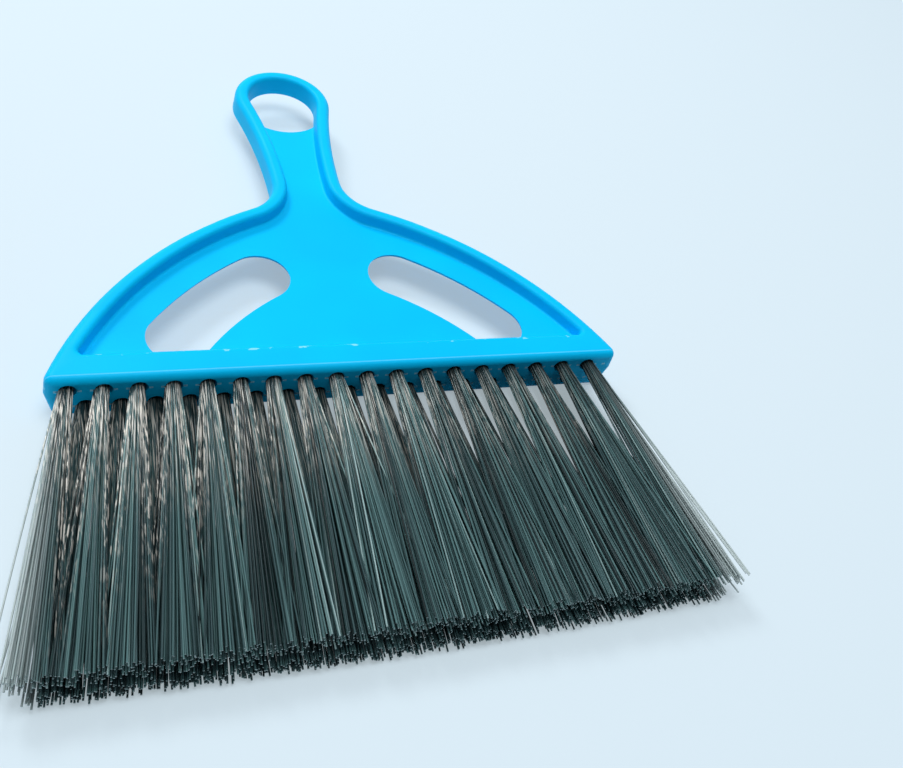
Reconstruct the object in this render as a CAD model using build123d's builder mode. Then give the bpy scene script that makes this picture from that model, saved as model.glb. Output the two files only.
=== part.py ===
from build123d import *
from math import atan2, cos, pi, radians, sin, sqrt, tan
import os

# Hand broom: one moulded polypropylene body and 35 filament tufts in two staggered rows.
# Each tuft is folded over a flat wire anchor and driven into a blind hole in the head.
# Lying face up: X runs along the head, Y from the bristle tips to the handle, Z up.
# The origin is the middle of the broom's footprint, on the surface that it lies on.
# Sizes are in millimetres and angles in degrees.

# Outline of the moulding, seen from above at the parting line
head_length = 171.2
body_length = 143.6
fan_radius = 122.1
fan_centre_forward = 43.1
neck_width = 23.9
neck_fillet = 14.0
end_radius = 17.1

# Section of the moulding: a rim round a thin web, with a thick bar along its front
head_thickness = 15.0
head_depth = 9.3
rim_height = 6.8
rim_width = 4.4
recess_depth = 4.3
web_thickness = 1.0
wall_draft = 4.0
base_draft = 12.0
recess_draft = 7.0
outer_edge_radius = 2.3
head_corner_radius = 2.4
head_base_radius = 2.0
recess_edge_radius = 1.5
recess_corner_radius = 1.5
floor_fillet = 0.8
mould_overrun = 4.0

# The two curved windows in the fan and the hanging hole in the handle
window_width = 18.4
window_band = 14.95
window_inner_angle = 59.0
window_outer_angle = 38.25
window_draft = 20.0
hang_arc_radius = 15.2
hang_arc_distance = 112.4

# Tuft holes: the upper row has one more than the lower row, which sits half a pitch aside
upper_tufts = 18
tuft_pitch = 9.0
row_spacing = 6.2
row_offset = 2.0
hole_diameter = 4.7
hole_depth = 7.0

# Flat wire anchors
anchor_wire = 0.4
anchor_height = 1.6
anchor_bite = 0.5
anchor_clearance = 0.05
fold_thickness = 1.0

# Tufts, each a round root with rings of strands that fan out to their cut tips
bristle_length = 80.0
plug_clearance = 0.3
plug_sides = 12
plug_overhang = 0.8
strand_sides = 4
strand_root_width = 0.7
strand_tip_width = 1.05
strand_embed = 1.2
root_ring_radius = 1.45
tip_ring_along = 4.4
tip_ring_across = 2.4
ring_counts = (3, 7)
ring_start_angles = (90.0, 0.0)
ring_radius_shares = (0.4, 1.0)
tip_span = 193.0
tip_block_length = 184.0
tip_row_spacing = 6.4
tip_drop = 1.2
trim_slant = 2.2

# Places worked out from those sizes
front_y = (bristle_length - body_length) / 2
rear_y = front_y + head_depth
parting_z = head_thickness - rim_height
floor_z = head_thickness - recess_depth
fan_x = head_length / 2 - sqrt(fan_radius**2 - fan_centre_forward**2)
fan_y = front_y - fan_centre_forward
neck_x = neck_width / 2
end_y = front_y + body_length - end_radius
rim_inset = rim_width + rim_height * tan(radians(wall_draft))
upper_recess = recess_depth + web_thickness / 2
lower_recess = rim_height - upper_recess
lower_step = (upper_recess - lower_recess) * tan(radians(recess_draft))
floor_step = recess_depth * tan(radians(recess_draft)) + floor_fillet
row_middle_z = head_thickness / 2
tip_middle_z = row_middle_z - tip_drop
tip_pitch = (tip_block_length - 2 * tip_ring_along - strand_tip_width) / (upper_tufts - 1)
stray_reach = (tip_span - tip_block_length) / 2
tip_block_height = tip_row_spacing + 2 * tip_ring_across
rows = {"upper": (upper_tufts, 1 / 2), "lower": (upper_tufts - 1, -1 / 2)}
anchor_depth = hole_depth - fold_thickness
anchor_width = hole_diameter + 2 * anchor_bite
parting_plane = Plane.XY.offset(parting_z)
top_plane = Plane.XY.offset(head_thickness)
floor_plane = Plane.XY.offset(floor_z)


def front_plane(depth, height):
    """A plane that faces the bristles, at a depth behind the head's front face."""
    return Plane(origin=(-row_offset, front_y + depth, height), x_dir=(1, 0, 0), z_dir=(0, -1, 0))


def on_circle(centre, radius, angle):
    return (centre[0] + radius * cos(angle), centre[1] + radius * sin(angle))


def moulding_outline():
    """Half the outline as four tangent arcs, mirrored: fan, neck, flared handle, round end."""
    fan_centre = (fan_x, fan_y)
    neck_centre_x = neck_x + neck_fillet
    neck_y = fan_y + sqrt((fan_radius + neck_fillet) ** 2 - (neck_centre_x - fan_x) ** 2)
    reach = end_y - neck_y
    flare_radius = (neck_x**2 + reach**2 - end_radius**2) / (2 * (end_radius - neck_x))
    start_y = front_y - mould_overrun
    start_x = fan_x + sqrt(fan_radius**2 - (start_y - fan_y) ** 2)
    start_angle = atan2(start_y - fan_y, start_x - fan_x)
    fan_angle = atan2(neck_y - fan_y, neck_centre_x - fan_x)
    flare_angle = atan2(-reach, neck_x + flare_radius)
    fan_end = on_circle(fan_centre, fan_radius, fan_angle)
    flare_end = on_circle((0, end_y), end_radius, flare_angle)
    with BuildSketch() as outline:
        with BuildLine():
            Line((0, start_y), (start_x, start_y))
            ThreePointArc((start_x, start_y),
                          on_circle(fan_centre, fan_radius, (start_angle + fan_angle) / 2), fan_end)
            RadiusArc(fan_end, (neck_x, neck_y), neck_fillet)
            RadiusArc((neck_x, neck_y), flare_end, flare_radius)
            ThreePointArc(flare_end, on_circle((0, end_y), end_radius, pi / 4), (0, end_y + end_radius))
            mirror(about=Plane.YZ)
        make_face()
    return outline.sketch


def inside_outline(inset, front_limit):
    """The outline shrunk by an inset and cut off along a line behind the front face."""
    back_limit = end_y + end_radius
    with BuildSketch() as inside:
        offset(outline, amount=-inset)
        with Locations((0, (front_limit + back_limit) / 2)):
            Rectangle(head_length, back_limit - front_limit, mode=Mode.INTERSECT)
        fillet(inside.vertices().group_by(Axis.Y)[0], recess_corner_radius)
    return inside.sketch


def window_outline():
    """A slot along an arc about the fan's own centre, one on each side."""
    spine_radius = fan_radius - window_band - window_width / 2
    sweep_angle = window_inner_angle - window_outer_angle
    with BuildSketch() as window:
        with BuildLine(mode=Mode.PRIVATE) as spine:
            CenterArc((fan_x, fan_y), spine_radius, window_outer_angle, sweep_angle)
        SlotArc(spine.wire(), window_width)
        mirror(about=Plane.YZ)
    return window.sketch


def square(x, y, z, width):
    """A strand's square section, facing the bristle tips."""
    with BuildSketch(Plane(origin=(x, y, z), x_dir=(1, 0, 0), z_dir=(0, -1, 0))) as section:
        RegularPolygon(width / 2, strand_sides, major_radius=False, rotation=45)
    return section.sketch


def strands(root_x, root_z, tip_x, tip_z, stray):
    """A tuft's strands as straight lofts, mirrored on the left half of the broom."""
    side = 1 if tip_x >= 0 else -1
    lofts = []
    for count, start, share in zip(ring_counts, ring_start_angles, ring_radius_shares):
        for i in range(count):
            angle = radians(start) + 2 * pi * i / count
            along, across = side * share * cos(angle), share * sin(angle)
            end_x = tip_x + along * tip_ring_along + (side * stray if along == side else 0)
            end_z = tip_z + across * tip_ring_across
            height_share = 1 / 2 + (end_z - tip_middle_z) / tip_block_height
            end_y = front_y - bristle_length + trim_slant * height_share
            foot = square(root_x + along * root_ring_radius, front_y + strand_embed,
                          root_z + across * root_ring_radius, strand_root_width)
            tip = square(end_x, end_y, end_z, strand_tip_width)
            lofts.append(loft([foot, tip], ruled=True))
    return lofts


outline = moulding_outline()

with BuildPart() as broom_body:
    # Fan and handle above the parting line, drafted upwards
    with BuildSketch(parting_plane):
        add(outline)
    extrude(amount=rim_height, taper=wall_draft)
    # Head bar below the parting line, drafted downwards
    with BuildSketch(parting_plane):
        add(outline)
        with Locations((0, rear_y - head_depth)):
            Rectangle(2 * head_length, 2 * head_depth, mode=Mode.INTERSECT)
    extrude(amount=-parting_z, taper=base_draft)
    # Recesses from above and below that meet inside the rim, and the thin web between them
    with BuildSketch(top_plane):
        add(inside_outline(rim_inset, rear_y))
    extrude(amount=-upper_recess, taper=recess_draft, mode=Mode.SUBTRACT)
    with BuildSketch(parting_plane):
        add(inside_outline(rim_inset + lower_step, rear_y + lower_step))
    extrude(amount=lower_recess, taper=recess_draft, mode=Mode.SUBTRACT)
    with BuildSketch(floor_plane):
        add(inside_outline(rim_inset - rim_width / 2, rear_y - head_depth / 2))
        with Locations((0, front_y + hang_arc_distance + hang_arc_radius)):
            Circle(hang_arc_radius, mode=Mode.SUBTRACT)
    extrude(amount=-web_thickness)
    # Flat front face, where the holes are drilled
    split(bisect_by=Plane(origin=(0, front_y, 0), z_dir=(0, 1, 0)))
    # Rounded edges: front corners, then the whole outer edge, the head's base and the recess
    front_face = faces().sort_by(Axis.Y)[0]
    fillet(front_face.edges().filter_by(Axis.X, reverse=True), head_corner_radius)
    front_face = faces().sort_by(Axis.Y)[0]
    fillet(front_face.edges().filter_by(Axis.X).sort_by(Axis.Z)[-1], outer_edge_radius)
    base_face = faces().sort_by(Axis.Z)[0]
    fillet(base_face.edges(), head_base_radius)
    top_face = faces().sort_by(Axis.Z)[-1]
    fillet(top_face.inner_wires()[0].edges(), recess_edge_radius)
    # The recess's floor meets its walls in a fillet, but not at the hanging hole
    floor_face = faces().filter_by(Plane.XY).sort_by(Axis.Z)[-2]
    fillet(floor_face.edges().sort_by(Axis.Y)[:-1], floor_fillet)
    # The windows, as far as that fillet
    with BuildSketch(floor_plane):
        add(window_outline())
        add(inside_outline(rim_inset + floor_step, rear_y + floor_step), mode=Mode.INTERSECT)
    extrude(amount=parting_z - floor_z, taper=-window_draft, mode=Mode.SUBTRACT)
    # Blind tuft holes in two rows, each with the slit that its anchor cuts on the way in
    for count, side in rows.values():
        with Locations(front_plane(0, row_middle_z + side * row_spacing)):
            with GridLocations(tuft_pitch, tuft_pitch, count, 1):
                Hole(hole_diameter / 2, hole_depth)
                Box(anchor_width + 2 * anchor_clearance, anchor_wire + 2 * anchor_clearance, anchor_depth,
                    align=(Align.CENTER, Align.CENTER, Align.MAX), mode=Mode.SUBTRACT)

broom_body.part.label = "broom_body"
os.makedirs("parts", exist_ok=True)
export_step(broom_body.part, "parts/broom_body.step")

# One anchor per hole, driven in edge first to lie under its tuft's fold
for row, (count, side) in rows.items():
    with BuildPart() as anchors:
        with Locations(front_plane(anchor_depth, row_middle_z + side * row_spacing)):
            with GridLocations(tuft_pitch, tuft_pitch, count, 1):
                Box(anchor_width, anchor_wire, anchor_height,
                    align=(Align.CENTER, Align.CENTER, Align.MIN))
    anchors.part.label = f"{row}_anchors"
    export_step(anchors.part, f"parts/{row}_anchors.step")

# The tufts: a folded root in the hole, held by the anchor through it, and the free strands
for row, (count, side) in rows.items():
    root_z = row_middle_z + side * row_spacing
    tip_z = tip_middle_z + side * tip_row_spacing
    for i in range(count):
        place = i - (count - 1) / 2
        stray = stray_reach if row == "upper" and i in (0, count - 1) else 0
        free_strands = strands(place * tuft_pitch - row_offset, root_z, place * tip_pitch, tip_z, stray)
        with BuildPart() as tuft:
            with BuildSketch(front_plane(hole_depth, root_z)):
                with Locations((place * tuft_pitch, 0)):
                    RegularPolygon(hole_diameter / 2 - plug_clearance, plug_sides)
            extrude(amount=hole_depth + plug_overhang)
            with Locations(front_plane(anchor_depth, root_z)):
                with Locations((place * tuft_pitch, 0)):
                    Box(anchor_width, anchor_wire, anchor_height,
                        align=(Align.CENTER, Align.CENTER, Align.MIN), mode=Mode.SUBTRACT)
            add(free_strands)
        tuft.part.label = f"{row}_tuft_{i + 1:02d}"
        export_step(tuft.part, f"parts/{row}_tuft_{i + 1:02d}.step")
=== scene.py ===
from math import pi, radians, sin, sqrt, tau

import bmesh
import bpy
from mathutils import Euler, Matrix, Vector


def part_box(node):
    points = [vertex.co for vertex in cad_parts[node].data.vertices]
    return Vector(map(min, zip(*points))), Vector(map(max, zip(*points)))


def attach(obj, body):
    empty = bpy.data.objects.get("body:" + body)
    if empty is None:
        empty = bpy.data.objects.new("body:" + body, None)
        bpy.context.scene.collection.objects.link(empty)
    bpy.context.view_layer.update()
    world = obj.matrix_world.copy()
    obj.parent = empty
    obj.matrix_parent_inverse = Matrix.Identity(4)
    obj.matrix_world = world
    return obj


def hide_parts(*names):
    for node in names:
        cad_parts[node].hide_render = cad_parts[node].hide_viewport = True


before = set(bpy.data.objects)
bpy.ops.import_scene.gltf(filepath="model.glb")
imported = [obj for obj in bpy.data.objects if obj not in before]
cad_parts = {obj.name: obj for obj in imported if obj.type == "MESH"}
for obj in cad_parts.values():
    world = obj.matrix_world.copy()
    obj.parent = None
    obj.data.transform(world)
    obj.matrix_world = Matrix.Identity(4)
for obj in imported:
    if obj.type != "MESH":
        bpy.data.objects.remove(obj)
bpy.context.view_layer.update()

# Sizes are in metres, in the model's own frame: X along the head, Y to the handle, Z up
MM = 0.001

# Camera, where the photograph was taken from: place, turn from +Y towards +X, fall and roll
CAMERA_PLACE = Vector((-82.1, -209.75, 228.5)) * MM
CAMERA_AZIMUTH = radians(32.30)
CAMERA_FALL = radians(46.76)
CAMERA_ROLL = radians(21.44)
CAMERA_CLIP_START = 10.0 * MM
FOCAL_LENGTH_PX = 1013.7
PHOTO_WIDTH_PX = 903
SENSOR_WIDTH_MM = 36.0

# Moulding: its front face, its top, its bar, and how its loose triangles are joined and shaded
FACE_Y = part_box("broom_body")[0][1]
HEAD_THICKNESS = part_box("broom_body")[1][2]
BAR_DEPTH = 9.3 * MM
MERGE_DISTANCE = 0.001 * MM
SMOOTH_ANGLE = radians(28)

# Skin of the moulding: fine orange peel, and slower changes of pigment and gloss where the melt flowed
PEEL_SIZE = 1.5 * MM
PEEL_DEPTH = 0.02 * MM
FLOW_SIZE = 25.0 * MM
MOULDING_ROUGHNESS = (0.38, 0.5)

# Stress-whitened dashes on the front face beside each tuft, where its anchor was driven in
DASH_FROM_TUFT = 2.95 * MM
DASH_LENGTH = 1.1 * MM
DASH_WIDTH = 0.8 * MM
DASH_DEPTH = 2.0 * MM

# Painted highlight specks along the bar's rear top edge, where their noise rises between these values
REAR_HIGHLIGHT_WIDTH = 0.9 * MM
REAR_HIGHLIGHT_LENGTH = 3.5 * MM
REAR_HIGHLIGHT_NOISE = (0.6, 0.64)

# Painted highlight line along the bar's front top edge, and its share of the whitened colour
FRONT_HIGHLIGHT_FROM_FACE = 1.9 * MM
FRONT_HIGHLIGHT_WIDTH = 0.35 * MM
FRONT_HIGHLIGHT_SHARE = 0.3

# Anchor wire: the fine lines of its drawing, and their roughness
WIRE_LINE_SIZE = 0.3 * MM
WIRE_ROUGHNESS = (0.25, 0.45)

# Tufts: their number in each row, their spacing, and the seed of the first one
TUFTS = {"upper": 18, "lower": 17}
TUFT_PITCH = 9.0 * MM
FIRST_SEED = {"upper": 100, "lower": 0}
SECOND_DRAW = 1000

# Filaments: straight drawn monofilament, folded into round tufts
FILAMENTS_PER_TUFT = {"upper": 62, "lower": 78}
FILAMENT_DIAMETER = 0.48 * MM
FILAMENT_SIDES = 6
FILAMENT_POINTS = 8
FREE_LENGTH = 80.0 * MM
ROOT_RADIUS = 1.65 * MM
ROOT_DROP = 0.4 * MM
GOLDEN_ANGLE = pi * (3 - sqrt(5))

# Block of tips, how each tuft spreads in it, and its slanted, slightly round and ragged cut
TIP_BLOCK_LENGTH = 190.8 * MM
TIP_BLOCK_SHIFT = -1.9 * MM
TIP_ROW_SPACING = 6.2 * MM
TIP_DROP = 1.2 * MM
TIP_SPREAD_ALONG = 7.0 * MM
RIGHT_END_SPREAD = 9.5 * MM
TIP_SPREAD_ACROSS = {"upper": 3.0 * MM, "lower": 2.6 * MM}
TIP_BLOCK_HEIGHT = TIP_ROW_SPACING + sum(TIP_SPREAD_ACROSS.values())
TIP_LOOSENESS = (0.9, 1.08)
TIP_TWIST = 0.12
TIP_BULGE = {"upper": 0.8 * MM, "lower": 1.8 * MM}
TRIM_SLANT = 2.2 * MM
TRIM_JITTER = 0.8 * MM

# Lean of the filaments: in clumps, alone for the tenth of them that strays, and in a slight bow
CLUMP_SIZE = 0.9 * MM
CLUMP_ALONG = 4.0 * MM
CLUMP_ACROSS = 2.4 * MM
STRAY_FROM = 0.9
STRAY_REACH = 8.0 * MM
END_STRAY_REACH = 17.0 * MM
FILAMENT_BOW = 0.5 * MM

# Limits of a filament: how far its tip may go to either side, none in the other ways, and the floor
TIP_LIMIT = 99.0 * MM
NO_LIMIT = 1.0
FLOOR_CLEARANCE = 0.1 * MM

# Shade of a filament: partly its clump's, with painted shade on the lower row, which lies deeper between the
# upper tufts, and painted shade where it leaves its hole, reaching further along towards the right-hand end
SHADE_OF_CLUMP = 0.75
ROW_PAINTED_SHADE = {"upper": 1.0, "lower": 0.66}
ROOT_PAINTED_SHADE = {"upper": 0.03, "lower": 0.26}
MORE_ROOT_PAINTED_SHADE_ON_RIGHT = 0.2

# Painted glints on a tuft's flanks: where on its radius they rise, and where along its length they fade,
# with the reach of the left-hand tufts, the least reach, and the loss from one end to the other
GLINT_FLANK = (0.3, 0.85)
GLINT_FADES_FROM = 0.3
GLINT_REACH = (1.0, 0.4)
GLINT_REACH_LOSS = 1.4

# Painted silver sheen near the roots: its strength, and where along the length it fades
SHEEN = 0.95
SHEEN_FADES = (0.12, 0.5)

# Share of the painted glints and of the painted sheen that is lost towards the right-hand end
LESS_ON_RIGHT = 0.95

# Loose ends: how far from the block's middle, and from where along the length, filaments are painted paler,
# as painted light of the pale floor showing through them
SPARSE_FROM = 86.0 * MM
SPARSE_TO = 94.0 * MM
PALE_RISES = (0.1, 0.6)

# Finish of a filament: short flecks of painted glint, long streaks of painted sheen, and how squarely a cut
# end faces to be painted pale
FLECK_WIDTH = 0.7 * MM
FLECK_LENGTH = 4.5 * MM
FLECK_NOISE = (0.51, 0.6)
FLECK_DEPTH = 0.05 * MM
STREAK_WIDTH = 0.5 * MM
STREAK_LENGTH = 14.0 * MM
STREAK_NOISE = (0.5, 0.62)
CUT_FACING = 0.7

# A noise texture's average, and the range that nearly all of its values lie in
NOISE_AVERAGE = 0.5
NOISE_RANGE = (0.3, 0.7)

# Floor: a disc, and how much of it is shown at its own colour
FLOOR_RADIUS = 2200.0 * MM
FLOOR_SIDES = 96
FLOOR_OWN_COLOUR_SHARE = 0.4

# Sky: its strength at the horizon, its gain to the right, to the back and overhead, and its least
SKY_AT_HORIZON = 0.14
SKY_GAIN = (-0.08, 0.15, 0.36)
SKY_LEAST = 0.03

# Soft round lamps: place and diameter in metres, and power in watts
LAMPS = {"overhead": ((0.02, 0.05, 1.3), 0.7, 8.6), "from_behind": ((-0.43, 0.91, 1.01), 0.4, 9.4)}

# A Mix node repeats the names of its sockets, so those for colours and for vectors go by number
COLOUR_A, COLOUR_B, MIXED_COLOUR = 6, 7, 2
VECTOR_A, VECTOR_B, MIXED_VECTOR = 4, 5, 1

# Inputs of the tufts' tree, and what it keeps on each filament's point
TUFT_INPUTS = {
    "Vector": ("Root", "Tip"),
    "Float": ("Root Radius", "Diameter", "Spread Along", "Spread Across", "Clump Size", "Clump Along",
              "Clump Across", "Stray", "Tip Limit", "Trim Jitter", "Trim Slant", "Bow", "Floor", "Row Painted Shade",
              "Root Painted Shade", "Glints", "Glint Reach", "Sheen", "Block Middle", "Sparse From", "Sparse To"),
    "Int": ("Filaments", "Points", "Sides", "Seed"),
    "Material": ("Finish",)}
STRAND_KINDS = {"strand_root": "FLOAT_VECTOR", "strand_tip": "FLOAT_VECTOR", "strand_bow": "FLOAT_VECTOR",
                "strand_tone_and_row_shade": "FLOAT", "strand_flank": "FLOAT", "strand_sparse": "FLOAT"}


def linear(hex_colour):
    """A colour written as sRGB hex, as the linear RGBA that a shader takes, by sRGB's own curve."""
    channels = [int(hex_colour[i:i + 2], 16) / 255 for i in (1, 3, 5)]
    return tuple(c / 12.92 if c <= 0.04045 else ((c + 0.055) / 1.055) ** 2.4 for c in channels) + (1.0,)


def add(tree, kind, inputs=None, **settings):
    """Adds a node with its settings. An input is given a value, an output, or a node's first output."""
    node = tree.nodes.new(kind)
    for name, value in settings.items():
        setattr(node, name, value)
    for name, value in (inputs or {}).items():
        if isinstance(value, bpy.types.Node):
            value = value.outputs[0]
        if isinstance(value, bpy.types.NodeSocket):
            tree.links.new(value, node.inputs[name])
        else:
            node.inputs[name].default_value = value
    return node


def new_material(name):
    """A material with an empty node tree."""
    material = bpy.data.materials.new(name)
    material.use_nodes = True
    material.node_tree.nodes.clear()
    return material, material.node_tree


def box_middle(node):
    """The middle of a CAD node's box."""
    return [(low + high) / 2 for low, high in zip(*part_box(node))]


# Materials


def whitened_marks_and_highlights(tree, place):
    """How white the moulding is at each place, from 0 to 1: stress-whitened dashes and painted highlights.
    """
    at = add(tree, "ShaderNodeSeparateXYZ", {0: place}).outputs
    on_top = add(tree, "ShaderNodeMath", {0: at["Z"], 1: HEAD_THICKNESS - FRONT_HIGHLIGHT_FROM_FACE},
                 operation="GREATER_THAN")
    marks = []

    # Driving the anchors in left a short stress-whitened dash on either side of each tuft
    front = add(tree, "ShaderNodeMath", {0: at["Y"], 1: FACE_Y + DASH_DEPTH}, operation="LESS_THAN")
    from_middle = add(tree, "ShaderNodeMath", {0: at["X"], 1: box_middle("lower_anchors")[0]},
                      operation="SUBTRACT")
    from_lower = add(tree, "ShaderNodeMath", {0: from_middle, 1: TUFT_PITCH / 2}, operation="PINGPONG")
    from_upper = add(tree, "ShaderNodeMath", {0: TUFT_PITCH / 2, 1: from_lower}, operation="SUBTRACT")
    for row, from_tuft in (("upper", from_upper), ("lower", from_lower)):
        beside = add(tree, "ShaderNodeMath", {0: from_tuft, 1: DASH_FROM_TUFT, 2: DASH_LENGTH / 2},
                     operation="COMPARE")
        level = add(tree, "ShaderNodeMath", {0: at["Z"], 1: box_middle(f"{row}_anchors")[2],
                                             2: DASH_WIDTH / 2}, operation="COMPARE")
        dash = add(tree, "ShaderNodeMath", {0: beside, 1: level}, operation="MULTIPLY")
        marks.append(add(tree, "ShaderNodeMath", {0: dash, 1: front}, operation="MULTIPLY"))

    # Here and there a painted highlight speck along the bar's rear top edge
    at_rear = add(tree, "ShaderNodeMath", {0: at["Y"], 1: FACE_Y + BAR_DEPTH - REAR_HIGHLIGHT_WIDTH,
                                           2: REAR_HIGHLIGHT_WIDTH / 2}, operation="COMPARE")
    rear_edge = add(tree, "ShaderNodeMath", {0: at_rear, 1: on_top}, operation="MULTIPLY")
    rear_highlight_noise = add(tree, "ShaderNodeTexNoise", {"Vector": place, "Scale": 1 / REAR_HIGHLIGHT_LENGTH, "Detail": 3.0})
    here = add(tree, "ShaderNodeMapRange", {"Value": rear_highlight_noise, "From Min": REAR_HIGHLIGHT_NOISE[0],
                                            "From Max": REAR_HIGHLIGHT_NOISE[1]})
    marks.append(add(tree, "ShaderNodeMath", {0: here, 1: rear_edge}, operation="MULTIPLY"))

    # A painted highlight line along the bar's front top edge
    at_front = add(tree, "ShaderNodeMath", {0: at["Y"], 1: FACE_Y + FRONT_HIGHLIGHT_FROM_FACE, 2: FRONT_HIGHLIGHT_WIDTH / 2},
                   operation="COMPARE")
    front_edge = add(tree, "ShaderNodeMath", {0: at_front, 1: on_top}, operation="MULTIPLY")
    marks.append(add(tree, "ShaderNodeMath", {0: front_edge, 1: FRONT_HIGHLIGHT_SHARE}, operation="MULTIPLY"))

    whitest = marks[0]
    for mark in marks[1:]:
        whitest = add(tree, "ShaderNodeMath", {0: whitest, 1: mark}, operation="MAXIMUM")
    return whitest


def moulded_polypropylene():
    """Injection-moulded polypropylene: an even, satin sky blue with a faint orange-peel skin,
    stress-whitened dashes and painted highlights along the bar's top edges.
    """
    material, tree = new_material("moulded_polypropylene")
    place = add(tree, "ShaderNodeTexCoord").outputs["Object"]
    peel = add(tree, "ShaderNodeTexNoise", {"Vector": place, "Scale": 1 / PEEL_SIZE, "Detail": 2.0})
    bump = add(tree, "ShaderNodeBump", {"Height": peel, "Distance": PEEL_DEPTH, "Strength": 0.3})
    flow = add(tree, "ShaderNodeTexNoise", {"Vector": place, "Scale": 1 / FLOW_SIZE, "Detail": 1.0})
    roughness = add(tree, "ShaderNodeMapRange", {"Value": flow, "To Min": MOULDING_ROUGHNESS[0],
                                                 "To Max": MOULDING_ROUGHNESS[1]})
    # The pigment is a touch deeper where the melt flowed last
    depth = add(tree, "ShaderNodeMapRange", {"Value": flow, "From Min": NOISE_RANGE[0],
                                             "From Max": NOISE_RANGE[1]})
    pigment = add(tree, "ShaderNodeMix", {"Factor": depth, COLOUR_A: linear("#00c8fa"),
                                          COLOUR_B: linear("#00c1f5")}, data_type="RGBA")
    # Stress-whitened dashes and painted highlights share one pale colour
    marked_and_highlighted = add(tree, "ShaderNodeMix", {
        "Factor": whitened_marks_and_highlights(tree, place), COLOUR_A: pigment.outputs[MIXED_COLOUR],
        COLOUR_B: linear("#8adcf7")}, data_type="RGBA")
    shader = add(tree, "ShaderNodeBsdfPrincipled", {
        "Base Color": marked_and_highlighted.outputs[MIXED_COLOUR], "Roughness": roughness, "IOR": 1.49,
        "Specular IOR Level": 0.07, "Normal": bump})
    add(tree, "ShaderNodeOutputMaterial", {"Surface": shader})
    return material


def drawn_filament():
    """Drawn plastic monofilament: smoke grey, each filament in its own shade, with painted shade, painted
    warm glints and sheen, and painted pale ends.
    """
    material, tree = new_material("drawn_filament")
    read = {name: add(tree, "ShaderNodeAttribute", attribute_name=name).outputs["Fac"]
            for name in ("strand_tone_and_painted_shade", "strand_painted_glint", "strand_painted_sheen", "strand_painted_pale")}
    smoke = add(tree, "ShaderNodeValToRGB", {"Fac": read["strand_tone_and_painted_shade"]})
    smoke.color_ramp.elements[0].color = linear("#121d1d")
    smoke.color_ramp.elements[1].color = linear("#99b1ad")
    smoke.color_ramp.elements.new(0.35).color = linear("#32494a")
    smoke.color_ramp.elements.new(0.85).color = linear("#547472")
    # Painted highlights: the colour turns warm white in short flecks of painted glint where the bundle is
    # loose, and in longer streaks of painted sheen where the filaments still lie tight together; they also
    # bump the surface a little
    place = add(tree, "ShaderNodeTexCoord").outputs["Object"]
    shines = []
    for width, length, detail, noise_range, strength in (
            (FLECK_WIDTH, FLECK_LENGTH, 3.0, FLECK_NOISE, read["strand_painted_glint"]),
            (STREAK_WIDTH, STREAK_LENGTH, 1.0, STREAK_NOISE, read["strand_painted_sheen"])):
        drawn = add(tree, "ShaderNodeMapping", {"Vector": place,
                                                "Scale": (1 / width, 1 / length, 1 / width)})
        uneven = add(tree, "ShaderNodeTexNoise", {"Vector": drawn, "Scale": 1.0, "Detail": detail})
        shown = add(tree, "ShaderNodeMapRange", {"Value": uneven, "From Min": noise_range[0],
                                                 "From Max": noise_range[1]})
        shines.append(add(tree, "ShaderNodeMath", {0: shown, 1: strength}, operation="MULTIPLY"))
    shine = add(tree, "ShaderNodeMath", {0: shines[0], 1: shines[1]}, operation="MAXIMUM")
    warm = add(tree, "ShaderNodeMix", {"Factor": shine, COLOUR_A: smoke, COLOUR_B: linear("#fff4e4")},
               data_type="RGBA")
    # Loose outer filaments are painted paler: painted light of the pale floor, which would show through them
    pale = add(tree, "ShaderNodeMix", {
        "Factor": read["strand_painted_pale"], COLOUR_A: warm.outputs[MIXED_COLOUR],
        COLOUR_B: linear("#bcc6c2")}, data_type="RGBA")
    # Each cut end, which faces forward, is painted as a small pale dot: painted light, since the ends face
    # the darker front
    normal = add(tree, "ShaderNodeNewGeometry").outputs["True Normal"]
    facing = add(tree, "ShaderNodeVectorMath", {0: normal, 1: (0.0, -1.0, 0.0)}, operation="DOT_PRODUCT")
    is_cut = add(tree, "ShaderNodeMath", {0: facing.outputs["Value"], 1: CUT_FACING},
                 operation="GREATER_THAN")
    cut = add(tree, "ShaderNodeMix", {"Factor": is_cut, COLOUR_A: pale.outputs[MIXED_COLOUR],
                                      COLOUR_B: linear("#a4b6b4")}, data_type="RGBA")
    bump = add(tree, "ShaderNodeBump", {"Height": shine, "Distance": FLECK_DEPTH, "Strength": 0.15})
    shader = add(tree, "ShaderNodeBsdfPrincipled", {
        "Base Color": cut.outputs[MIXED_COLOUR], "Roughness": 0.22, "IOR": 1.57,
        "Specular IOR Level": 0.22, "Normal": bump})
    add(tree, "ShaderNodeOutputMaterial", {"Surface": shader})
    return material


def flat_steel_wire():
    """Flat drawn steel wire: bright and plain, with fine lines."""
    material, tree = new_material("flat_steel_wire")
    place = add(tree, "ShaderNodeTexCoord").outputs["Object"]
    lines = add(tree, "ShaderNodeTexNoise", {"Vector": place, "Scale": 1 / WIRE_LINE_SIZE})
    roughness = add(tree, "ShaderNodeMapRange", {"Value": lines, "To Min": WIRE_ROUGHNESS[0],
                                                 "To Max": WIRE_ROUGHNESS[1]})
    shader = add(tree, "ShaderNodeBsdfPrincipled", {
        "Base Color": linear("#c8c8c4"), "Metallic": 1.0, "Roughness": roughness})
    add(tree, "ShaderNodeOutputMaterial", {"Surface": shader})
    return material


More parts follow.
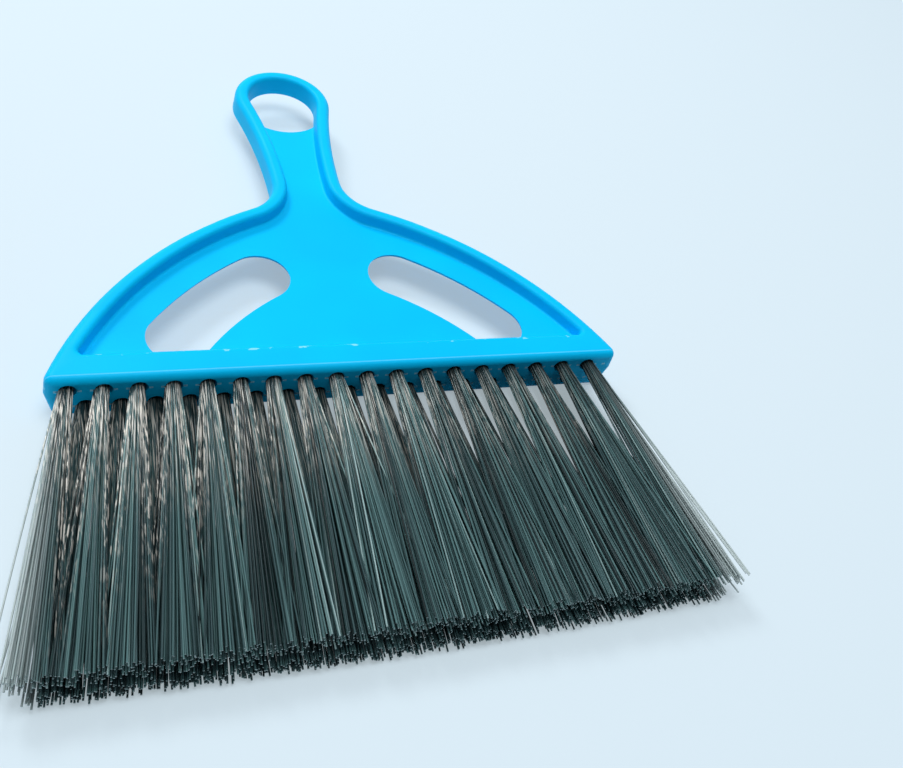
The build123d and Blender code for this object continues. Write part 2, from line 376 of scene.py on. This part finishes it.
def seen_rays(tree):
    """1 for rays that show the surroundings, from the camera or by reflection, and 0 for rays of light."""
    rays = add(tree, "ShaderNodeLightPath").outputs
    seen = rays["Is Camera Ray"]
    for kind in ("Is Glossy Ray", "Is Transmission Ray"):
        seen = add(tree, "ShaderNodeMath", {0: seen, 1: rays[kind]}, operation="MAXIMUM").outputs[0]
    return seen


def pale_floor():
    """A plain pale floor, partly shown at its own colour, so that the broom's shadow stays light."""
    material, tree = new_material("pale_floor")
    share = add(tree, "ShaderNodeMath", {0: seen_rays(tree), 1: FLOOR_OWN_COLOUR_SHARE},
                operation="MULTIPLY")
    lit = add(tree, "ShaderNodeBsdfDiffuse", {"Color": linear("#d9e4ea")})
    own = add(tree, "ShaderNodeEmission", {"Color": linear("#e7f7fd"), "Strength": 1.0})
    mixed = add(tree, "ShaderNodeMixShader", {0: share, 1: lit, 2: own})
    add(tree, "ShaderNodeOutputMaterial", {"Surface": mixed})
    return material


# The moulding


def smoothed_copy(node, name, material):
    """A copy of a CAD node with its triangles joined, so that its rounded edges shade smoothly."""
    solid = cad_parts[node].data
    bm = bmesh.new()
    points = [bm.verts.new(vertex.co) for vertex in solid.vertices]
    for triangle in solid.polygons:
        bm.faces.new([points[i] for i in triangle.vertices])
    bmesh.ops.remove_doubles(bm, verts=bm.verts, dist=MERGE_DISTANCE)
    mesh = bpy.data.meshes.new(name)
    bm.to_mesh(mesh)
    bm.free()
    mesh.materials.append(material)
    mesh.shade_smooth()
    piece = bpy.data.objects.new(name, mesh)
    bpy.context.collection.objects.link(piece)
    bpy.context.view_layer.objects.active = piece
    piece.select_set(True)
    bpy.ops.object.shade_smooth_by_angle(angle=SMOOTH_ANGLE)
    piece.select_set(False)
    return piece


# The filament tufts


def strand_chances(tree, index, seed):
    """Six random numbers for each filament, drawn three at a time."""
    numbers = []
    for step, least, most in ((0, (TIP_LOOSENESS[0], -1.0, -1.0), (TIP_LOOSENESS[1], 1.0, 1.0)),
                              (SECOND_DRAW, (0.0, 0.0, -TIP_TWIST), (1.0, 1.0, TIP_TWIST))):
        own_seed = add(tree, "ShaderNodeMath", {0: seed, 1: step}, operation="ADD")
        drawn = add(tree, "FunctionNodeRandomValue", {0: least, 1: most, "ID": index, "Seed": own_seed},
                    data_type="FLOAT_VECTOR")
        numbers.extend(add(tree, "ShaderNodeSeparateXYZ", {0: drawn}).outputs)
    return numbers


def way_at(tree, angle):
    """The way that an angle points in the plane across the tuft."""
    cosine = add(tree, "ShaderNodeMath", {0: angle}, operation="COSINE")
    sine = add(tree, "ShaderNodeMath", {0: angle}, operation="SINE")
    return add(tree, "ShaderNodeCombineXYZ", {"X": cosine, "Z": sine})


def leaning_tip(tree, given, root, tip, chance, swing):
    """A filament's tip, which leans with its neighbours or strays, with their noise and its straying."""
    finer = add(tree, "ShaderNodeMath", {0: 1.0, 1: given["Clump Size"]}, operation="DIVIDE")
    cell = add(tree, "ShaderNodeVectorMath", {0: root, "Scale": finer}, operation="SCALE")
    noise = add(tree, "ShaderNodeTexNoise", {"Vector": cell, "Scale": 1.0, "Detail": 0.0}).outputs
    centred = add(tree, "ShaderNodeVectorMath", {0: noise["Color"], 1: (NOISE_AVERAGE,) * 3},
                  operation="SUBTRACT")
    clump = add(tree, "ShaderNodeCombineXYZ", {"X": given["Clump Along"], "Z": given["Clump Across"]})
    straying = add(tree, "ShaderNodeMapRange", {"Value": chance, "From Min": STRAY_FROM, "From Max": 1.0})
    swung = add(tree, "ShaderNodeMath", {0: straying, 1: swing}, operation="MULTIPLY")
    aside = add(tree, "ShaderNodeMath", {0: swung, 1: given["Stray"]}, operation="MULTIPLY")
    stray = add(tree, "ShaderNodeCombineXYZ", {"X": aside})
    lean = add(tree, "ShaderNodeVectorMath", {0: centred, 1: clump, 2: stray}, operation="MULTIPLY_ADD")
    leant = add(tree, "ShaderNodeVectorMath", {0: tip, 1: lean}, operation="ADD")

    # No tip goes past the limit at either end of the block
    left_limit = add(tree, "ShaderNodeMath", {0: given["Tip Limit"], 1: -1.0}, operation="MULTIPLY")
    least = add(tree, "ShaderNodeCombineXYZ", {"X": left_limit, "Y": -NO_LIMIT, "Z": -NO_LIMIT})
    most = add(tree, "ShaderNodeCombineXYZ", {"X": given["Tip Limit"], "Y": NO_LIMIT, "Z": NO_LIMIT})
    not_left = add(tree, "ShaderNodeVectorMath", {0: leant, 1: least}, operation="MAXIMUM")
    held = add(tree, "ShaderNodeVectorMath", {0: not_left, 1: most}, operation="MINIMUM")
    return held, noise["Fac"], straying


def bundle_points(tree, given):
    """One point for each filament, which carries its root, its tip, its bow and its looks."""
    index = add(tree, "GeometryNodeInputIndex")
    looseness, swing, raggedness, chance, bow_turn, twist = strand_chances(tree, index, given["Seed"])

    # Its place in the bundle, on a sunflower pattern that loosens towards the tips
    half_step = add(tree, "ShaderNodeMath", {0: index, 1: 0.5}, operation="ADD")
    filled = add(tree, "ShaderNodeMath", {0: half_step, 1: given["Filaments"]}, operation="DIVIDE")
    reach = add(tree, "ShaderNodeMath", {0: filled}, operation="SQRT")
    turn = add(tree, "ShaderNodeMath", {0: index, 1: GOLDEN_ANGLE}, operation="MULTIPLY")
    tip_turn = add(tree, "ShaderNodeMath", {0: turn, 1: twist}, operation="ADD")
    tip_reach = add(tree, "ShaderNodeMath", {0: reach, 1: looseness}, operation="MULTIPLY")
    ends = []
    for end, angle, radius, along, across in (("Root", turn, reach, "Root Radius", "Root Radius"),
                                              ("Tip", tip_turn, tip_reach, "Spread Along", "Spread Across")):
        size = add(tree, "ShaderNodeCombineXYZ", {"X": given[along], "Z": given[across]})
        ellipse = add(tree, "ShaderNodeVectorMath", {0: way_at(tree, angle), 1: size}, operation="MULTIPLY")
        offset = add(tree, "ShaderNodeVectorMath", {0: ellipse, "Scale": radius}, operation="SCALE")
        ends.append(add(tree, "ShaderNodeVectorMath", {0: given[end], 1: offset}, operation="ADD"))
    root, straight_tip = ends
    tip, clump_noise, straying = leaning_tip(tree, given, root, straight_tip, chance, swing)

    # The cut: upper filaments are a little shorter, and each one a little more or less
    tip_at = add(tree, "ShaderNodeSeparateXYZ", {0: tip}).outputs
    slant = add(tree, "ShaderNodeMath", {0: tip_at["Z"], 1: given["Trim Slant"]}, operation="MULTIPLY")
    ragged = add(tree, "ShaderNodeMath", {0: raggedness, 1: given["Trim Jitter"], 2: slant},
                 operation="MULTIPLY_ADD")
    shorter = add(tree, "ShaderNodeCombineXYZ", {"Y": ragged})
    cut_tip = add(tree, "ShaderNodeVectorMath", {0: tip, 1: shorter}, operation="ADD")

    # A slight bow in its own direction
    bow_angle = add(tree, "ShaderNodeMath", {0: bow_turn, 1: tau}, operation="MULTIPLY")
    bow_size = add(tree, "ShaderNodeMath", {0: swing, 1: given["Bow"]}, operation="MULTIPLY")
    bow = add(tree, "ShaderNodeVectorMath", {0: way_at(tree, bow_angle), "Scale": bow_size},
              operation="SCALE")

    # Its looks: its own shade with the painted shade of its row, painted glints on the bundle's flanks, and
    # how sparsely it stands at the tip
    clump_shade = add(tree, "ShaderNodeMapRange", {"Value": clump_noise, "From Min": NOISE_RANGE[0],
                                                   "From Max": NOISE_RANGE[1]})
    own_shade = add(tree, "ShaderNodeMix", {"Factor": SHADE_OF_CLUMP, "A": chance, "B": clump_shade})
    paler = add(tree, "ShaderNodeMath", {0: own_shade, 1: straying}, operation="MAXIMUM")
    tone_and_row_shade = add(tree, "ShaderNodeMath", {0: paler, 1: given["Row Painted Shade"]}, operation="MULTIPLY")
    cosine = add(tree, "ShaderNodeMath", {0: turn}, operation="COSINE")
    flank = add(tree, "ShaderNodeMath", {0: cosine, 1: reach}, operation="MULTIPLY")
    flank_size = add(tree, "ShaderNodeMath", {0: flank}, operation="ABSOLUTE")
    glinting = add(tree, "ShaderNodeMapRange", {"Value": flank_size, "From Min": GLINT_FLANK[0],
                                                "From Max": GLINT_FLANK[1], "To Max": given["Glints"]})
    aside = add(tree, "ShaderNodeMath", {0: tip_at["X"], 1: given["Block Middle"]}, operation="SUBTRACT")
    from_middle = add(tree, "ShaderNodeMath", {0: aside}, operation="ABSOLUTE")
    sparse = add(tree, "ShaderNodeMapRange", {"Value": from_middle, "From Min": given["Sparse From"],
                                              "From Max": given["Sparse To"]})

    carried = {"strand_root": root, "strand_tip": cut_tip, "strand_bow": bow, "strand_tone_and_row_shade": tone_and_row_shade,
               "strand_flank": glinting, "strand_sparse": sparse}
    points = add(tree, "GeometryNodePoints", {"Count": given["Filaments"]})
    for name, value in carried.items():
        points = add(tree, "GeometryNodeStoreNamedAttribute", {"Geometry": points, "Name": name,
                     "Value": value}, data_type=STRAND_KINDS[name], domain="POINT")
    return points


def filament_lines(tree, given, points):
    """A line for each point, from its root to its tip, with its looks along it."""
    line = add(tree, "GeometryNodeCurvePrimitiveLine")
    resampled = add(tree, "GeometryNodeResampleCurve", {"Curve": line, "Count": given["Points"]})
    placed = add(tree, "GeometryNodeInstanceOnPoints", {"Points": points, "Instance": resampled})
    strands = add(tree, "GeometryNodeRealizeInstances", {0: placed})
    read = {name: add(tree, "GeometryNodeInputNamedAttribute", {"Name": name}, data_type=kind)
            for name, kind in STRAND_KINDS.items()}
    along = add(tree, "GeometryNodeSplineParameter").outputs["Factor"]
    straight = add(tree, "ShaderNodeMix", {"Factor": along, VECTOR_A: read["strand_root"],
                                           VECTOR_B: read["strand_tip"]}, data_type="VECTOR")
    # The bow is full half way, where the product of what lies behind and ahead is a quarter
    ahead = add(tree, "ShaderNodeMath", {0: 1.0, 1: along}, operation="SUBTRACT")
    product = add(tree, "ShaderNodeMath", {0: along, 1: ahead}, operation="MULTIPLY")
    fullness = add(tree, "ShaderNodeMath", {0: product, 1: 4.0}, operation="MULTIPLY")
    bowed = add(tree, "ShaderNodeVectorMath", {0: read["strand_bow"], "Scale": fullness}, operation="SCALE")
    path = add(tree, "ShaderNodeVectorMath", {0: straight.outputs[MIXED_VECTOR], 1: bowed},
               operation="ADD")
    lowest = add(tree, "ShaderNodeCombineXYZ", {"X": -NO_LIMIT, "Y": -NO_LIMIT, "Z": given["Floor"]})
    above_floor = add(tree, "ShaderNodeVectorMath", {0: path, 1: lowest}, operation="MAXIMUM")
    lines = add(tree, "GeometryNodeSetPosition", {"Geometry": strands, "Position": above_floor})

    # Each look is a product: painted shade at the roots, painted glints and sheen that fade, and loose ends
    # that are painted pale
    root_painted_shade = add(tree, "ShaderNodeMapRange", {"Value": along, "From Max": given["Root Painted Shade"]})
    glinting = add(tree, "ShaderNodeMapRange", {
        "Value": along, "From Min": GLINT_FADES_FROM, "From Max": given["Glint Reach"],
        "To Min": 1.0, "To Max": 0.0})
    tight = add(tree, "ShaderNodeMapRange", {
        "Value": along, "From Min": SHEEN_FADES[0], "From Max": SHEEN_FADES[1],
        "To Min": given["Sheen"], "To Max": 0.0})
    fanned = add(tree, "ShaderNodeMapRange", {"Value": along, "From Min": PALE_RISES[0],
                                              "From Max": PALE_RISES[1]})
    for name, look, factors in (("strand_tone_and_painted_shade", read["strand_tone_and_row_shade"], (root_painted_shade,)),
                                ("strand_painted_glint", read["strand_flank"], (glinting, root_painted_shade)),
                                ("strand_painted_sheen", tight, (root_painted_shade,)),
                                ("strand_painted_pale", read["strand_sparse"], (fanned,))):
        for factor in factors:
            look = add(tree, "ShaderNodeMath", {0: look, 1: factor}, operation="MULTIPLY")
        lines = add(tree, "GeometryNodeStoreNamedAttribute", {"Geometry": lines, "Name": name,
                    "Value": look}, data_type="FLOAT", domain="POINT")
    return lines


def filament_tree():
    """Geometry nodes for one tuft: filaments from a round root to a spread, trimmed block of tips."""
    tree = bpy.data.node_groups.new("filament_tuft", "GeometryNodeTree")
    sockets = {name: tree.interface.new_socket(name, in_out="INPUT", socket_type=f"NodeSocket{kind}")
               for kind, names in TUFT_INPUTS.items() for name in names}
    tree.interface.new_socket("Tuft", in_out="OUTPUT", socket_type="NodeSocketGeometry")
    given = add(tree, "NodeGroupInput").outputs
    lines = filament_lines(tree, given, bundle_points(tree, given))
    radius = add(tree, "ShaderNodeMath", {0: given["Diameter"], 1: 0.5}, operation="MULTIPLY")
    section = add(tree, "GeometryNodeCurvePrimitiveCircle", {"Resolution": given["Sides"], "Radius": radius})
    tubes = add(tree, "GeometryNodeCurveToMesh", {"Curve": lines, "Profile Curve": section,
                                                  "Fill Caps": True})
    smooth = add(tree, "GeometryNodeSetShadeSmooth", {"Geometry": tubes})
    whole = add(tree, "GeometryNodeRealizeInstances", {0: smooth})
    finished = add(tree, "GeometryNodeSetMaterial", {"Geometry": whole, "Material": given["Finish"]})
    add(tree, "NodeGroupOutput", {"Tuft": finished})
    return tree, {name: socket.identifier for name, socket in sockets.items()}


def filament_tuft(tree, sockets, name, sizes):
    """One tuft as a plain mesh, made by the tree with this tuft's own places and seed."""
    maker = bpy.data.objects.new(name + "_maker", bpy.data.meshes.new(name + "_maker"))
    bpy.context.collection.objects.link(maker)
    modifier = maker.modifiers.new("tuft", "NODES")
    modifier.node_group = tree
    for label, value in sizes.items():
        modifier[sockets[label]] = value
    depsgraph = bpy.context.evaluated_depsgraph_get()
    mesh = bpy.data.meshes.new_from_object(maker.evaluated_get(depsgraph))
    mesh.name = name
    bpy.data.objects.remove(maker)
    piece = bpy.data.objects.new(name, mesh)
    bpy.context.collection.objects.link(piece)
    return piece


def make_tufts(material):
    """All the tufts, each with its root in its own hole, over its own anchor."""
    tree, sockets = filament_tree()
    alike = {
        "Root Radius": ROOT_RADIUS, "Diameter": FILAMENT_DIAMETER, "Points": FILAMENT_POINTS,
        "Sides": FILAMENT_SIDES, "Clump Size": CLUMP_SIZE, "Clump Along": CLUMP_ALONG,
        "Clump Across": CLUMP_ACROSS, "Bow": FILAMENT_BOW, "Trim Jitter": TRIM_JITTER,
        "Trim Slant": TRIM_SLANT / TIP_BLOCK_HEIGHT, "Tip Limit": TIP_LIMIT,
        "Floor": FLOOR_CLEARANCE + FILAMENT_DIAMETER / 2, "Block Middle": TIP_BLOCK_SHIFT,
        "Sparse From": SPARSE_FROM, "Sparse To": SPARSE_TO, "Finish": material}
    tip_pitch = (TIP_BLOCK_LENGTH - 2 * TIP_SPREAD_ALONG) / (TUFTS["upper"] - 1)
    for row, count in TUFTS.items():
        row_x, _, row_z = box_middle(f"{row}_anchors")
        anchors_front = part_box(f"{row}_anchors")[0][1]
        side = 1 if row == "upper" else -1
        for i in range(count):
            place = i - (count - 1) / 2
            on_left = 1 - LESS_ON_RIGHT * i / count
            # The cut is a little round: the middle tufts stand out, and the lower row more than the upper
            bulge = TIP_BULGE[row] * sin(pi * (i + 1) / (count + 1))
            piece = filament_tuft(tree, sockets, f"{row}_filaments_{i + 1:02d}", alike | {
                "Root": (row_x + place * TUFT_PITCH, anchors_front, row_z - ROOT_DROP),
                "Tip": (TIP_BLOCK_SHIFT + place * tip_pitch, FACE_Y - FREE_LENGTH - bulge,
                        HEAD_THICKNESS / 2 - TIP_DROP + side * TIP_ROW_SPACING / 2),
                "Filaments": FILAMENTS_PER_TUFT[row], "Seed": FIRST_SEED[row] + i,
                "Spread Along": RIGHT_END_SPREAD if i == count - 1 else TIP_SPREAD_ALONG,
                "Spread Across": TIP_SPREAD_ACROSS[row],
                "Stray": END_STRAY_REACH if i in (0, count - 1) else STRAY_REACH,
                # Painted shade on the lower row and at the roots, and painted glints and sheen, less towards
                # the right
                "Row Painted Shade": ROW_PAINTED_SHADE[row], "Root Painted Shade": ROOT_PAINTED_SHADE[row] + MORE_ROOT_PAINTED_SHADE_ON_RIGHT * i / count,
                "Glints": on_left, "Sheen": SHEEN * on_left,
                "Glint Reach": max(GLINT_REACH[1], GLINT_REACH[0] - GLINT_REACH_LOSS * i / count)})
            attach(piece, "root")
            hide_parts(f"{row}_tuft_{i + 1:02d}")


# Camera, floor and light


def make_camera():
    """The photograph's camera, upright at first and then rolled about its own axis."""
    camera = bpy.data.objects.new("camera", bpy.data.cameras.new("camera"))
    bpy.context.collection.objects.link(camera)
    camera.data.sensor_width = SENSOR_WIDTH_MM
    camera.data.lens = SENSOR_WIDTH_MM * FOCAL_LENGTH_PX / PHOTO_WIDTH_PX
    camera.data.clip_start = CAMERA_CLIP_START
    camera.location = CAMERA_PLACE
    upright = Euler((radians(90) - CAMERA_FALL, 0, -CAMERA_AZIMUTH)).to_matrix()
    camera.rotation_euler = (upright @ Matrix.Rotation(CAMERA_ROLL, 3, "Z")).to_euler()
    bpy.context.scene.camera = camera


def make_floor(material):
    """A wide disc under the broom, whose edge is a plain horizon in low views."""
    mesh = bpy.data.meshes.new("floor")
    floor = bpy.data.objects.new("floor", mesh)
    bpy.context.collection.objects.link(floor)
    bm = bmesh.new()
    bmesh.ops.create_circle(bm, cap_ends=True, segments=FLOOR_SIDES, radius=FLOOR_RADIUS)
    bm.to_mesh(mesh)
    bm.free()
    mesh.materials.append(material)


def soft_light(name, place, diameter, power):
    """A round soft lamp of faintly cool white, turned to the middle of the broom."""
    lamp = bpy.data.objects.new(name, bpy.data.lights.new(name, "AREA"))
    bpy.context.collection.objects.link(lamp)
    lamp.data.shape = "DISK"
    lamp.data.size = diameter
    lamp.data.energy = power
    lamp.data.color = linear("#f4fbff")[:3]
    lamp.location = place
    lamp.rotation_euler = (-Vector(place)).to_track_quat("-Z", "Y").to_euler()


def make_light():
    """The soft lamps and a pale sky, which is brighter overhead and towards the back."""
    world = bpy.data.worlds.new("studio")
    bpy.context.scene.world = world
    world.use_nodes = True
    world.node_tree.nodes.clear()
    tree = world.node_tree
    way = add(tree, "ShaderNodeTexCoord").outputs["Generated"]
    gain = add(tree, "ShaderNodeVectorMath", {0: way, 1: SKY_GAIN}, operation="DOT_PRODUCT")
    strength = add(tree, "ShaderNodeMath", {0: gain.outputs["Value"], 1: SKY_AT_HORIZON}, operation="ADD")
    not_black = add(tree, "ShaderNodeMath", {0: strength, 1: SKY_LEAST}, operation="MAXIMUM")
    sky = add(tree, "ShaderNodeBackground", {"Color": linear("#dfeafc"), "Strength": not_black})
    # What the camera and the reflections see past the floor is a plain pale backdrop
    backdrop = add(tree, "ShaderNodeBackground", {"Color": linear("#dcebf3"), "Strength": 1.0})
    mixed = add(tree, "ShaderNodeMixShader", {0: seen_rays(tree), 1: sky, 2: backdrop})
    add(tree, "ShaderNodeOutputWorld", {"Surface": mixed})
    for name, (place, diameter, power) in LAMPS.items():
        soft_light(name, place, diameter, power)


# The broom, with its anchors as the CAD made them, and its surroundings
moulding = smoothed_copy("broom_body", "moulding", moulded_polypropylene())
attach(moulding, "root")
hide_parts("broom_body")
wire = flat_steel_wire()
for row in TUFTS:
    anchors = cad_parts[f"{row}_anchors"]
    anchors.data.materials.clear()
    anchors.data.materials.append(wire)
make_tufts(drawn_filament())
make_camera()
make_floor(pale_floor())
make_light()

bpy.context.scene.view_settings.view_transform = "Standard"
